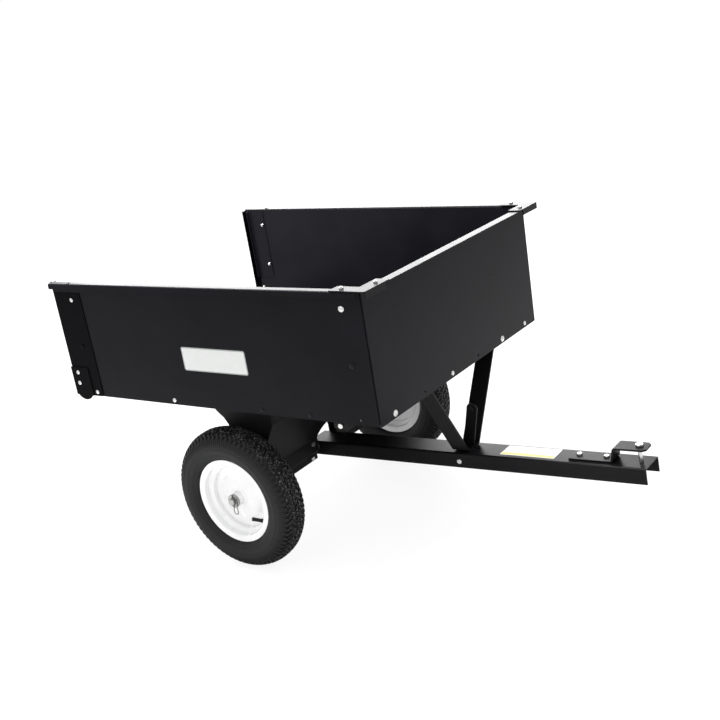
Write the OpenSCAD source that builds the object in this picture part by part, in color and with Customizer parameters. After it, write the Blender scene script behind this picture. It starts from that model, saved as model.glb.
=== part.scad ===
// Tipping dump cart: a steel bed that tips about its wheel axle on a tow bar.
// +X points to the hitch, +Y to the left side, +Z up; the ground is at Z = 0.

/* [Wheels] */
// Outside diameter of the tyre
tyre_d = 400; // [360:1:420]
// Width of the tyre across its sidewalls
tyre_w = 94; // [84:1:100]
// Thickness of the tyre casing
tyre_wall = 8; // [6:0.5:10]
// Outside diameter of the rim flange
rim_d = 239; // [225:1:250]
// Width of the rim between the outer faces of its flanges
rim_w = 67; // [60:1:72]
// Thickness of the rim sheet
rim_t = 2.5; // [2:0.1:3]
// Distance between the centres of the two tyres
wheel_track = 748; // [740:1:800]
// Length of the hub tube
hub_len = 54; // [50:1:58]
// Outside diameter of the hub tube
hub_d = 38; // [36:1:44]
// Diameter of the axle
axle_d = 20; // [16:0.5:22]
// Thickness of the outer axle washer
washer_t = 3; // [2:0.5:4]
// Wire diameter of the hairpin clip
clip_d = 3.2; // [2.5:0.1:4]

/* [Bed] */
// Length of the bed floor, front panel to rear edge
bed_len = 1042; // [950:1:1150]
// Inside width of the bed at the front panel
bed_front_w = 782; // [740:1:850]
// Inside width of the bed at its open rear end
bed_rear_w = 826; // [790:1:900]
// Height of the side panels
bed_h = 335; // [280:1:400]
// Distance from the axle forward to the front panel
bed_front_x = 520; // [480:1:560]
// Height of the floor's underside above the axle
floor_rise = 266; // [240:1:300]
// Thickness of the bed sheets
sheet_t = 2; // [1.5:0.1:3]
// Inside radius of the sheet bends
bend_r = 3; // [1.5:0.5:5]
// Outward width of the side rim
side_rim_w = 26; // [20:1:32]
// Height of the lip under the side rim
side_lip_h = 15; // [10:1:20]
// Outward width of the front rim
front_rim_w = 30; // [24:1:36]
// Depth of the front panel's returns behind the side panels
front_return = 84; // [70:1:110]
// Height of the floor's turned-up edges
floor_edge_h = 26; // [22:1:40]
// Leg length of the corner plates
corner_leg = 100; // [80:1:130]
// Thickness of the corner plates
corner_t = 3; // [2:0.5:5]
// Height of the corner plates' front lip
corner_lip_h = 14; // [8:1:20]
// Open joint between the front panel and the front edge of a side panel
corner_gap = 3; // [1:0.5:6]
// Width of the rear posts seen outside
post_w = 104; // [90:1:130]
// Inward depth of the tailgate slot
slot_depth = 14; // [10:1:30]
// Clear width of the tailgate slot
slot_w = 14; // [12:1:18]
// Width of the rear foot brackets
foot_w = 70; // [62:1:72]
// Height of the rear foot brackets above the floor line
foot_h = 84; // [78:1:110]
// Drop of the rear foot brackets below the floor line
foot_drop = 14; // [8:1:20]

/* [Bolster and brace] */
// Thickness of the bolster sheets
bolster_t = 3; // [2:0.5:4]
// Half length of the bolster at the floor
bolster_half = 102; // [90:1:120]
// Depth of the bolster's upright part under the floor
bolster_upright = 74; // [60:1:90]
// Gap between the bolster's ends and the tyres
tyre_clear = 17; // [10:1:30]
// Thickness of the axle brackets
bracket_t = 4; // [3:0.5:6]
// Drop of the bolster lips below the axle centre
lip_drop = 36; // [36:1:42]
// Radius of the arch that clears the tongue
arch_r = 46; // [44:0.5:56]
// Width of the V brace bar
brace_w = 50; // [40:1:60]
// Thickness of the V brace bar
brace_t = 5; // [4:0.5:6]
// Distance from the front panel back to the V brace
brace_back = 5; // [5:1:20]
// Spread of the V brace legs at the floor, from the middle
brace_spread = 160; // [130:1:190]
// Spread of the V brace legs at the tongue, from the middle
brace_base = 26; // [20:1:34]
// Distance from the axle forward to the cross rail
rail_x = 398; // [300:1:420]
// Width of the cross rail
rail_w = 44; // [30:1:60]
// Depth of the cross rail
rail_h = 20; // [14:1:26]

/* [Tow bar] */
// Length of the tongue from the axle to its tip
tongue_len = 1006; // [950:1:1100]
// Width of the tongue channel
tongue_w = 80; // [72:1:84]
// Height of the tongue channel
tongue_h = 41; // [38:1:48]
// Height of the tongue's top above the axle centre
tongue_top = 15; // [15:0.5:17]
// Thickness of the tongue channel
tongue_t = 3; // [2.5:0.5:4]
// Length of the tongue behind the axle
tongue_tail = 22; // [18:1:24]
// Wall thickness of the bush on the axle
bush_wall = 1.8; // [1.5:0.1:2.5]
// Upward slope of the tongue, in degrees
tongue_rise = 2.7; // [0:0.1:3]
// Width of the hitch strap
strap_w = 48; // [40:1:56]
// Thickness of the hitch strap
strap_t = 5; // [4:0.5:6]
// Clear height of the hitch jaw
jaw_h = 36; // [28:1:48]
// Diameter of the hitch pin
pin_d = 10; // [8:0.5:14]
// Width of the latch lever
lever_w = 31; // [26:1:33]
// Height of the latch lever above its pivot
lever_h = 155; // [120:1:180]
// Thickness of the latch lever
lever_t = 5; // [4:0.5:6]
// Forward lean of the released latch lever, in degrees
lever_lean = 15; // [11:0.5:16]

/* [Fasteners] */
// Diameter of the bed bolts
bolt_d = 8; // [6:0.5:8]
// Diameter of the smaller bolts
small_bolt_d = 6; // [5:0.5:6]
// Radial clearance of bolts in their holes
bolt_gap = 0.25; // [0.2:0.05:0.4]
// Gap between sheets that lie on each other
lay_gap = 0.1; // [0.05:0.05:0.3]
// Radial running clearance on the axle
run_gap = 0.05; // [0.02:0.01:0.1]
// Free gap between moving faces
free_gap = 0.4; // [0.3:0.1:1]

/* [Hidden] */
$fn = 48;
bend_steps = 4;
axle_z = tyre_d/2;
wheel_y = wheel_track/2;
bracket_span = wheel_track - tyre_w - 2*tyre_clear;
splay = atan((bed_rear_w - bed_front_w)/2/bed_len);
side_len = bed_len/cos(splay);
bed_rear_x = bed_front_x - bed_len;
post_tail = 4;
front_reach = tongue_len*cos(tongue_rise) + (tongue_h - tongue_top)*sin(tongue_rise);
rear_reach = side_len*cos(splay) - bed_front_x + post_tail*cos(splay)
    + (lay_gap + sheet_t/2 + slot_depth)*sin(splay);
axle_x = (rear_reach - front_reach)/2;
black_paint = [0.13, 0.13, 0.15];
zinc = [0.78, 0.78, 0.76];
rubber = [0.09, 0.09, 0.09];
white_paint = [0.93, 0.93, 0.92];

// Wheel depths, measured out from the tyre's middle plane
bead_r = rim_d/2 - 16;
well_r = bead_r - 12;
hub_end = hub_len/2;
bearing_flange_t = 3;
bearing_d = axle_d + 10;
bearing_len = 14;
hub_face = hub_end + bearing_flange_t + lay_gap;
axle_end = wheel_y + hub_face + free_gap + washer_t + 3*clip_d;
clip_y = wheel_y + hub_face + free_gap + washer_t + lay_gap + clip_d/2 + bolt_gap;
disc_r = hub_d*0.85;
valve_d = 9;
valve_angle = -35;
valve_r = (bead_r + well_r)/2;
valve_out = rim_w/2 - rim_t/2 - 19;
valve_tilt = 42;

// Bolster profile points, relative to the axle centre
wall_x = axle_d/2 + bolster_t/2 + lay_gap + 1.5;
band_top = 34;
lip_x = bolster_t/2 + 0.5;
flange_w = 38;
// Bends of the bolster walls: distance from the axle centre and drop under the floor
front_wall = [[bolster_half, bolster_upright]];
rear_wall = [for (b = [[1, 0.36], [0.9, 0.66], [0.8, 0.78], [0.65, 0.95], [0.55, 1.14], [0.45, 1.4]])
    [b[0]*bolster_half, b[1]*bolster_upright]];
bolster_bolt_x = bolster_half + flange_w/2 + 2;
bolster_bolt_y = [-0.4*bracket_span, -0.145*bracket_span, 0.145*bracket_span, 0.4*bracket_span];
lip_bolt_y = 70;
lip_bolt_z = bolt_d*1.05 - lip_drop;
lip_top = -axle_d*0.4 - 8;
clamp_bolt_z = axle_d/2 + bolt_d/2 + 6;
tongue_gap = arch_r;

// V brace, relative to the floor's underside
brace_x = bed_front_x - brace_back - brace_w;
tongue_top_at_brace = tongue_top/cos(tongue_rise) + (brace_x + brace_w)*tan(tongue_rise);
brace_base_z = tongue_top_at_brace + free_gap - floor_rise;
brace_foot = 44;
brace_bolt_y = brace_spread + brace_foot/2 + 4;

// Latch lever, in the tongue's own frame
pivot_x = brace_x + brace_w/2;
pivot_z = tongue_top - tongue_h/2 - 1.5;
lever_back = lever_w*0.4;
hook_len = 6;
hook_h = 8;
brace_top = brace_base_z + floor_rise + brace_t;
brace_top_at_hook = (brace_top - (pivot_x - lever_back)*tan(tongue_rise))*cos(tongue_rise);
hook_z = brace_top_at_hook - pivot_z + 0.9;
notch_w = lever_t + 2*1.5;
notch_gap = 1;
notch_back = (pivot_x - lever_back)*cos(tongue_rise) - brace_top_at_hook*sin(tongue_rise) - notch_gap;

// Hitch, in the tongue's own frame
strap_low = 113;
strap_high = 82;
strap_rear_x = tongue_len - 206;
strap_step_x = strap_rear_x + strap_low;
hitch_x = tongue_len - 26;
hitch_bolt_x = [strap_rear_x + 20, strap_rear_x + 92];
pin_head_d = pin_d*1.9;
pin_head_h = 6;
pin_tail = 26;

// Bolt places on the side panels: distance behind the front corner, height above the floor line
floor_bolt_z = floor_edge_h/2 - 1;
return_bolts = [[front_return*0.71, bed_h*0.857], [front_return*0.64, bed_h*0.45]];
free_side_hole = [front_return*0.68, floor_bolt_z];
floor_bolts = [0.196*side_len, 0.342*side_len, 0.634*side_len];
post_x = side_len - post_w;
post_top = bed_h - side_lip_h - 17;
post_out = 2*sheet_t + lay_gap;
post_grip = 3*sheet_t + 2*lay_gap;
guide_bolt = [post_w*0.36, bed_h*0.845];
foot_bolts = [[post_w - foot_w*0.31, foot_h*0.81], [post_w - foot_w*0.26, foot_h*0.43]];
low_post_bolt = [(post_w - foot_w)*0.65, floor_bolt_z];
guide_pitch = bed_h*0.4;
front_pitch = bed_front_w*0.17;
front_bolt_y = [-2.5*front_pitch, 1.5*front_pitch];
front_small_bolt_y = [-0.5*front_pitch, 2.5*front_pitch];
front_hole_y = [-1.5*front_pitch, 0.5*front_pitch];
front_bolt_z = floor_bolt_z;
rim_bolt_u = corner_leg*0.4;
rim_bolt_rear = side_len - post_w*0.79;

// Frames that the pieces are placed in

module from_axle() {
    translate([axle_x, 0, axle_z]) children();
}

module from_bed() {
    translate([axle_x, 0, axle_z + floor_rise]) children();
}

module from_tongue() {
    from_axle() rotate([0, -tongue_rise, 0]) children();
}

// Right side panel: X runs forward along the panel and ends at the front corner, Y points inward
module from_side() {
    from_bed() translate([bed_front_x, -bed_front_w/2, 0]) rotate([0, 0, splay]) children();
}

module left() {
    mirror([0, 1, 0]) children();
}

module wheel_side() {
    from_axle() translate([0, -wheel_y, 0]) rotate([90, 0, 0]) children();
}

// Bent sheet: a centre line with rounded corners, given a thickness

function unit(v) = v/norm(v);

function across(v) = [-v[1], v[0]];

function turned(v, a) = [v[0]*cos(a) - v[1]*sin(a), v[0]*sin(a) + v[1]*cos(a)];

function corner_samples(before, corner, after, r) =
    let (a = unit(corner - before),
         b = unit(after - corner),
         turn = atan2(a[0]*b[1] - a[1]*b[0], a*b),
         start = corner - a*r*tan(abs(turn)/2),
         centre = start + across(a)*r*sign(turn))
    [for (k = [0:bend_steps])
        let (d = turned(a, turn*k/bend_steps))
        [centre - across(d)*r*sign(turn), d]];

function path_samples(path, r) = concat(
    [[path[0], unit(path[1] - path[0])]],
    [for (i = [1:len(path) - 2]) each corner_samples(path[i - 1], path[i], path[i + 1], r)],
    [[path[len(path) - 1], unit(path[len(path) - 1] - path[len(path) - 2])]]);

function sheet_outline(path, t, r) =
    let (samples = path_samples(path, r + t/2))
    concat([for (s = samples) s[0] + across(s[1])*t/2],
           [for (i = [len(samples) - 1:-1:0]) samples[i][0] - across(samples[i][1])*t/2]);

// Profile in Y and Z, drawn out along X
module along_x(length) {
    rotate([90, 0, 90]) linear_extrude(length) children();
}

// Profile in X and Z, drawn out along Y and centred
module along_y(length) {
    translate([0, length/2, 0]) rotate([90, 0, 0]) linear_extrude(length) children();
}

module sheet(path, t, r) {
    polygon(sheet_outline(path, t, r));
}

// Carriage bolt with nut: dome head above Z = 0, nut under the grip
module carriage_bolt(d, grip) {
    head_r = d*1.05;
    head_h = d*0.42;
    cap_r = (head_r*head_r + head_h*head_h)/(2*head_h);
    nut_h = d*0.75;
    rotate_extrude() polygon(concat([[0, 0]], [for (k = [0:6])
        let (a = asin(head_r/cap_r)*(1 - k/6)) [cap_r*sin(a), cap_r*cos(a) - cap_r + head_h]]));
    translate([0, 0, -grip - nut_h - 2]) cylinder(d = d, h = grip + nut_h + 2);
    translate([0, 0, -grip - nut_h]) cylinder(d = d*1.9, h = nut_h, $fn = 6);
}

// Hex bolt with nut: hex head above Z = 0, nut under the grip
module hex_bolt(d, grip) {
    head_h = d*0.65;
    nut_h = d*0.75;
    cylinder(d = d*1.9, h = head_h, $fn = 6);
    translate([0, 0, -grip - nut_h - 2]) cylinder(d = d, h = grip + nut_h + 2);
    translate([0, 0, -grip - nut_h]) cylinder(d = d*1.9, h = nut_h, $fn = 6);
}

module drill(d, depth) {
    translate([0, 0, -depth/2]) cylinder(d = d + 2*bolt_gap, h = depth);
}

// Turns a bolt's Z axis to point out of the right side panel
module side_bolt_at(back, z, out) {
    translate([-back, -out, z]) rotate([90, 0, 0]) children();
}

// Tow bar

module tongue_channel() {
    side_y = tongue_w/2 - tongue_t/2;
    top_z = tongue_top - tongue_t/2;
    low_z = tongue_top - tongue_h;
    slot_front = pivot_x + lever_w*1.45;
    color(black_paint) from_tongue() difference() {
        translate([-tongue_tail, 0, 0]) along_x(tongue_len + tongue_tail)
            sheet([[-side_y, low_z], [-side_y, top_z], [side_y, top_z], [side_y, low_z]], tongue_t, bend_r);
        rotate([90, 0, 0]) cylinder(d = axle_d + 2*bush_wall + 2*run_gap, h = tongue_w + 2, center = true);
        translate([pivot_x, 0, pivot_z]) rotate([90, 0, 0])
            cylinder(d = bolt_d + 2*bolt_gap, h = tongue_w + 2, center = true);
        translate([notch_back - 1, -notch_w/2, tongue_top - 2*tongue_t])
            cube([slot_front - notch_back, notch_w, 3*tongue_t]);
        for (x = hitch_bolt_x) translate([x, 0, tongue_top]) drill(bolt_d, 4*tongue_t);
        translate([hitch_x, 0, tongue_top]) drill(pin_d + 2*free_gap, 4*tongue_t);
    }
}

module hitch_strap() {
    low_z = tongue_top + lay_gap + strap_t/2;
    high_z = low_z + jaw_h;
    step = 8;
    nose = 12;
    color(black_paint) from_tongue() difference() {
        along_y(strap_w) sheet([[strap_rear_x, low_z], [strap_step_x, low_z],
            [strap_step_x + step, high_z], [strap_step_x + step + strap_high, high_z]], strap_t, bend_r);
        for (x = hitch_bolt_x) translate([x, 0, low_z]) drill(bolt_d, 4*strap_t);
        translate([hitch_x, 0, high_z]) drill(pin_d + 2*free_gap, 4*strap_t);
        for (s = [-1, 1]) translate([strap_step_x + step + strap_high, s*strap_w/2, high_z])
            rotate([0, 0, 45]) cube([nose, nose, 4*strap_t], center = true);
    }
}

module hitch_bolts() {
    seat = tongue_top + lay_gap + strap_t;
    grip = strap_t + lay_gap + tongue_t;
    color(zinc) from_tongue() for (x = hitch_bolt_x) translate([x, 0, seat]) hex_bolt(bolt_d, grip);
}

module hitch_pin() {
    seat = tongue_top + 2*lay_gap + strap_t + jaw_h;
    reach = seat - tongue_top + pin_tail;
    color(zinc) from_tongue() translate([hitch_x, 0, seat]) {
        cylinder(d = pin_head_d, h = pin_head_h);
        translate([0, 0, -reach]) cylinder(d = pin_d, h = reach + pin_head_h/2);
        translate([0, 0, -reach - pin_d/4]) cylinder(d1 = pin_d*0.6, d2 = pin_d, h = pin_d/4);
    }
}

module tongue_bush() {
    bush_len = tongue_w + 2;
    color(zinc) from_tongue() rotate([90, 0, 0]) difference() {
        cylinder(d = axle_d + 2*bush_wall, h = bush_len, center = true);
        cylinder(d = axle_d + 2*run_gap, h = bush_len + 2, center = true);
    }
}

module latch_pivot_bolt() {
    grip = tongue_w;
    color(zinc) from_tongue() translate([pivot_x, -tongue_w/2, pivot_z]) rotate([90, 0, 0])
        hex_bolt(bolt_d, grip);
}

module latch_spacers() {
    spacer_len = tongue_w/2 - tongue_t - lever_t/2 - free_gap - lay_gap;
    color(zinc) from_tongue() for (s = [-1, 1])
        translate([pivot_x, s*(tongue_w/2 - tongue_t - lay_gap - spacer_len/2), pivot_z]) rotate([90, 0, 0])
            difference() {
                cylinder(d = bolt_d + 5, h = spacer_len, center = true);
                cylinder(d = bolt_d + 2*bolt_gap, h = spacer_len + 2, center = true);
            }
}

module latch_lever() {
    round_r = lever_w/2 - 3;
    low = -12;
    front = lever_w - lever_back;
    color(black_paint) from_tongue() translate([pivot_x, 0, pivot_z]) rotate([0, lever_lean, 0])
        along_y(lever_t) difference() {
            union() {
                translate([-lever_back, low]) square([lever_w, lever_h - low - round_r]);
                translate([-lever_back + round_r, lever_h - round_r]) circle(round_r);
                translate([front - round_r, lever_h - round_r]) circle(round_r);
                translate([-lever_back + round_r, lever_h - 2*round_r])
                    square([lever_w - 2*round_r, 2*round_r]);
                translate([-lever_back - hook_len, hook_z]) square([hook_len + 1, hook_h]);
            }
            circle(d = bolt_d + 2*run_gap);
            translate([front - lever_w/2, lever_h - round_r]) circle(d = bolt_d);
        }
}

// Bed

module floor_pan() {
    inset = sheet_t + 2*lay_gap;
    front_w = bed_front_w - 2*inset;
    rear_w = bed_rear_w - 2*inset;
    edge_x = bed_front_x - lay_gap - sheet_t;
    cut = 3*bend_r;
    rear_lip = 16;
    color(black_paint) difference() {
        union() {
            from_bed() linear_extrude(sheet_t) polygon([
                [edge_x + sheet_t, -front_w/2], [edge_x + sheet_t, front_w/2],
                [bed_rear_x + cut, rear_w/2 - cut*tan(splay)], [bed_rear_x, rear_w/2 - cut],
                [bed_rear_x, -rear_w/2 + cut], [bed_rear_x + cut, -rear_w/2 + cut*tan(splay)]]);
            from_bed() translate([edge_x, -front_w/2 + 6, 0]) cube([sheet_t, front_w - 12, floor_edge_h]);
            from_bed() translate([bed_rear_x, -rear_w/2 + slot_depth + 6, -rear_lip])
                cube([sheet_t, rear_w - 2*slot_depth - 12, rear_lip + sheet_t]);
            floor_side_edges(inset);
            left() floor_side_edges(inset);
        }
        floor_holes();
        left() floor_side_holes();
    }
}

// Turned-up edge along the side panel, and a tab at the rear post's low bolt
module floor_side_edges(inset) {
    edge_from = front_return + 3;
    edge_to = post_x - 40;
    tab_w = 44;
    tab_to = post_x + low_post_bolt[0] + tab_w/2;
    from_side() for (run = [[edge_from, edge_to], [tab_to - tab_w, tab_to]]) {
        translate([-run[1], lay_gap, 0]) cube([run[1] - run[0], 2*inset, sheet_t]);
        translate([-run[1], lay_gap, 0]) cube([run[1] - run[0], sheet_t, floor_edge_h]);
    }
}

// Every hole that goes through the floor and its edges
module floor_holes() {
    floor_side_holes();
    from_bed() front_row(front_bolt_y) drill(bolt_d, 20);
    from_bed() front_row(front_small_bolt_y) drill(small_bolt_d, 20);
    from_bed() front_row(front_hole_y) drill(bolt_d, 20);
    from_bed() bolster_grid() drill(bolt_d, 12);
    from_bed() brace_pair() drill(bolt_d, 12);
}

module floor_side_holes() {
    from_side() {
        for (back = floor_bolts) side_bolt_at(back, floor_bolt_z, 0) drill(small_bolt_d, 12);
        low_post_hole();
    }
}

module front_row(places) {
    for (y = places) translate([bed_front_x, y, front_bolt_z]) rotate([0, 90, 0]) children();
}

module bolster_grid() {
    for (s = [-1, 1], y = bolster_bolt_y) translate([s*bolster_bolt_x, y, 0]) children();
}

module brace_pair() {
    for (s = [-1, 1]) translate([brace_x + brace_w/2, s*brace_bolt_y, 0]) children();
}

module front_panel() {
    wide = bed_front_w + 2*sheet_t;
    mid_x = bed_front_x + lay_gap + sheet_t/2;
    return_h = bed_h - 12;
    color(black_paint) difference() {
        union() {
            from_bed() along_y(wide) sheet([[mid_x, 0], [mid_x, bed_h - sheet_t/2],
                [bed_front_x + front_rim_w, bed_h - sheet_t/2]], sheet_t, bend_r);
            front_return_flange(return_h);
            left() front_return_flange(return_h);
        }
        from_bed() front_row(front_bolt_y) drill(bolt_d, 20);
        from_bed() front_row(front_small_bolt_y) drill(small_bolt_d, 20);
        from_bed() front_row(front_hole_y) drill(bolt_d, 20);
        side_return_holes();
        left() side_return_holes();
        corner_bolt_holes();
        left() corner_bolt_holes();
    }
}

module front_return_flange(h) {
    from_side() translate([-front_return, lay_gap, floor_edge_h*0.15])
        cube([front_return + lay_gap + sheet_t*0.6, sheet_t, h]);
}

module side_return_holes() {
    for (b = return_bolts) from_side() side_bolt_at(b[0], b[1], 0) drill(bolt_d, 20);
    from_side() side_bolt_at(free_side_hole[0], free_side_hole[1], 0) drill(small_bolt_d, 20);
}

// Two bolts through each corner plate and one near the rear end of each side rim
module corner_bolt_places() {
    from_side() translate([-rim_bolt_u, -side_rim_w/2 - 1, bed_h]) children();
    from_bed() translate([bed_front_x + front_rim_w/2 + 1, -bed_front_w/2 + rim_bolt_u, bed_h]) children();
}

module corner_bolt_holes() {
    corner_bolt_places() drill(small_bolt_d, 20);
}

module rear_rim_place() {
    from_side() translate([-rim_bolt_rear, -side_rim_w/2 - 1, bed_h]) children();
}

module side_panel_right() {
    mid_y = -sheet_t/2;
    rim_y = -side_rim_w + sheet_t/2;
    color(black_paint) difference() {
        from_side() translate([-side_len - post_tail, 0, 0]) along_x(side_len + post_tail - corner_gap)
            sheet([[mid_y, 0], [mid_y, bed_h - sheet_t/2], [rim_y, bed_h - sheet_t/2],
                [rim_y, bed_h - side_lip_h]], sheet_t, bend_r);
        from_side() translate([-side_len - post_tail - 1, -4*sheet_t, -1])
            cube([slot_w + sheet_t + 1, 8*sheet_t, post_top + lay_gap + 1]);
        from_side() translate([-side_len - post_tail - 1, -side_rim_w - 1, bed_h - side_lip_h - 1])
            cube([side_rim_w*0.6 + 1, side_rim_w + 1 - 2*bend_r, side_lip_h + 2]);
        side_return_holes();
        floor_side_holes();
        from_side() post_holes();
        corner_bolt_holes();
        rear_rim_place() drill(small_bolt_d, 20);
    }
}

module side_panel_left() {
    left() side_panel_right();
}

module corner_plate_right() {
    reach_x = bed_front_x + front_rim_w + corner_t + 2*lay_gap;
    inner_x = bed_front_x - 4;
    z0 = bed_h + lay_gap;
    outer_y = -bed_front_w/2 - side_rim_w - 3;
    inner_y = -bed_front_w/2 + 6;
    cut = 3;
    lip_len = corner_leg*0.8;
    color(black_paint) difference() {
        from_bed() union() {
            translate([0, 0, z0]) linear_extrude(corner_t) polygon([
                [reach_x, outer_y + corner_leg], [reach_x, outer_y + cut], [reach_x - cut, outer_y],
                [reach_x - corner_leg, outer_y], [reach_x - corner_leg, inner_y], [inner_x, inner_y],
                [inner_x, outer_y + corner_leg]]);
            translate([reach_x - corner_t, outer_y + cut, z0 - corner_lip_h])
                cube([corner_t, lip_len, corner_lip_h + corner_t/2]);
        }
        corner_bolt_holes();
    }
}

module corner_plate_left() {
    left() corner_plate_right();
}

// Rear post: lies on the side panel and turns inward behind its rear edge; only the turned edge
// goes on above post_top, inside the rim
module rear_post_right() {
    mid_y = sheet_t/2 - post_out;
    rear = -side_len - post_tail + sheet_t/2;
    return_y = lay_gap + sheet_t/2 + slot_depth;
    corner_r = 7;
    color(black_paint) difference() {
        from_side() linear_extrude(bed_h - 2*sheet_t)
            sheet([[-post_x, mid_y], [rear, mid_y], [rear, return_y]], sheet_t, bend_r);
        from_side() translate([-side_len - post_tail - 1, -post_out - 1, post_top])
            cube([post_w + post_tail + 2, post_out + 1 + lay_gap, bed_h]);
        from_side() translate([-post_x - corner_r, 0, 0]) along_y_from(0, 2*post_out) difference() {
            translate([0, -1]) square(corner_r + 1);
            translate([0, corner_r]) circle(corner_r);
        }
        from_side() post_holes();
    }
}

module rear_post_left() {
    left() rear_post_right();
}

module post_holes() {
    side_bolt_at(post_x + guide_bolt[0], guide_bolt[1], 0) drill(small_bolt_d, 40);
    side_bolt_at(post_x + guide_bolt[0], guide_bolt[1] - guide_pitch, 0) drill(small_bolt_d, 40);
    low_post_hole();
    for (b = foot_bolts) side_bolt_at(post_x + b[0], b[1], 0) drill(small_bolt_d, 40);
}

module low_post_hole() {
    side_bolt_at(post_x + low_post_bolt[0], low_post_bolt[1], 0) drill(small_bolt_d, 40);
}

// Tailgate guide: an angle inside the side panel that closes the tailgate slot
module tailgate_guide_right() {
    mid_y = lay_gap + sheet_t/2;
    rear = -side_len - post_tail + sheet_t + slot_w + sheet_t/2;
    front = -post_x - guide_bolt[0] + small_bolt_d*1.3;
    guide_low = foot_h*1.24;
    color(black_paint) difference() {
        from_side() translate([0, 0, guide_low]) linear_extrude(bed_h - guide_low - 3*sheet_t)
            sheet([[front, mid_y], [rear, mid_y], [rear, mid_y + slot_depth - sheet_t]], sheet_t, bend_r);
        from_side() post_holes();
    }
}

module tailgate_guide_left() {
    left() tailgate_guide_right();
}

// Rear foot bracket: outer plate at the lower rear corner, with a round lobe below the floor line
module rear_foot_right() {
    x0 = -side_len - post_tail;
    lobe = foot_w/2;
    color(black_paint) difference() {
        from_side() translate([x0, 0, 0]) along_y_from(-post_out - lay_gap, sheet_t) difference() {
            union() {
                translate([0, 0]) square([foot_w, foot_h]);
                translate([lobe, foot_drop*0.9]) scale_lobe(lobe);
            }
            translate([-1, -lobe - foot_drop]) square([foot_w + 2, lobe]);
        }
        from_side() post_holes();
    }
}

// Flat round lobe as a circle segment as wide as the bracket
module scale_lobe(half) {
    sag = foot_drop*1.9;
    r = (half*half + sag*sag)/(2*sag);
    intersection() {
        translate([0, r - sag]) circle(r, $fn = 96);
        translate([-half, -sag]) square([2*half, sag + 1]);
    }
}

// Profile in X and Z, drawn outward from a face at the given Y
module along_y_from(y, depth) {
    translate([0, y, 0]) rotate([90, 0, 0]) linear_extrude(depth) children();
}

module rear_foot_left() {
    left() rear_foot_right();
}

module cross_rail() {
    half = rail_w/2 - sheet_t/2;
    low = -rail_h + sheet_t/2;
    rail_len = bed_front_w - 6;
    cap = 3;
    color(black_paint) from_bed() difference() {
        union() {
            translate([rail_x, 0, 0]) along_y(rail_len)
                sheet([[-half, -lay_gap], [-half, low], [half, low], [half, -lay_gap]], sheet_t, bend_r);
            for (s = [-1, 1]) translate([rail_x - half, s*(rail_len/2 - cap/2) - cap/2, low])
                cube([2*half, cap, -lay_gap - low]);
        }
        for (s = [-1, 1]) translate([rail_x, s*rail_len/2, -rail_h/2]) rotate([90, 0, 0]) drill(bolt_d, 20);
    }
}

// Bolster: a formed sheet in front of the axle with a straight wall, another behind with a hollow wall
module bolster_sheet(wall) {
    top = floor_rise - lay_gap - bolster_t/2;
    difference() {
        along_y(bracket_span) sheet(concat(
            [[bolster_half + flange_w, top], [bolster_half, top]],
            [for (b = wall) [b[0], floor_rise - b[1]]],
            [[wall_x, band_top], [wall_x, -axle_d*0.4], [lip_x, lip_top], [lip_x, -lip_drop]]),
            bolster_t, bend_r);
        arch_cut();
        translate([0, 0, floor_rise]) bolster_grid() drill(bolt_d, 20);
        clamp_places() drill(bolt_d, 8*bolster_t + 2*wall_x);
    }
}

module bolster_front() {
    color(black_paint) from_axle() bolster_sheet(front_wall);
}

module arch_cut() {
    translate([0, 0, tongue_top + 10]) rotate([0, 90, 0]) cylinder(r = arch_r, h = 2*bolster_half);
    translate([-1, -tongue_gap, -lip_drop - 1])
        cube([2*bolster_half, 2*tongue_gap, lip_drop + tongue_top + 11]);
}

module clamp_places() {
    for (s = [-1, 1]) {
        translate([0, s*lip_bolt_y, lip_bolt_z]) rotate([0, 90, 0]) children();
        translate([0, s*lip_bolt_y, clamp_bolt_z]) rotate([0, 90, 0]) children();
    }
}

module bolster_rear() {
    color(black_paint) from_axle() mirror([1, 0, 0]) bolster_sheet(rear_wall);
}

// Axle bracket: plate welded to the bolster's end, with the hole that holds the axle
module axle_bracket_right() {
    half = bolster_half + bolster_t/2;
    top = floor_rise - lay_gap;
    low = wall_x + bolster_t/2 + 3;
    color(black_paint) from_axle() difference() {
        along_y_from(-bracket_span/2 - lay_gap, bracket_t) polygon(concat(
            [[-half, top], [half, top]],
            [for (b = front_wall) [b[0] + bolster_t/2, floor_rise - b[1]]],
            [[low, band_top], [low, -low*0.4], [low*0.4, -low], [-low*0.4, -low], [-low, -low*0.4],
             [-low, band_top]],
            [for (i = [len(rear_wall) - 1:-1:0])
                [-rear_wall[i][0] - bolster_t/2, floor_rise - rear_wall[i][1]]]));
        rotate([90, 0, 0]) cylinder(d = axle_d + 2*run_gap, h = bracket_span + 4*bracket_t, center = true);
    }
}

module axle_bracket_left() {
    left() axle_bracket_right();
}

module axle() {
    chamfer = 2;
    color(zinc) from_axle() difference() {
        rotate([90, 0, 0]) union() {
            cylinder(d = axle_d, h = 2*(axle_end - chamfer), center = true);
            for (s = [0, 180]) rotate([s, 0, 0]) translate([0, 0, axle_end - chamfer])
                cylinder(d1 = axle_d, d2 = axle_d - 2*chamfer, h = chamfer);
        }
        for (s = [-1, 1]) translate([0, s*clip_y, 0])
            cylinder(d = clip_d + 2*bolt_gap, h = axle_d + 2, center = true);
    }
}

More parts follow.
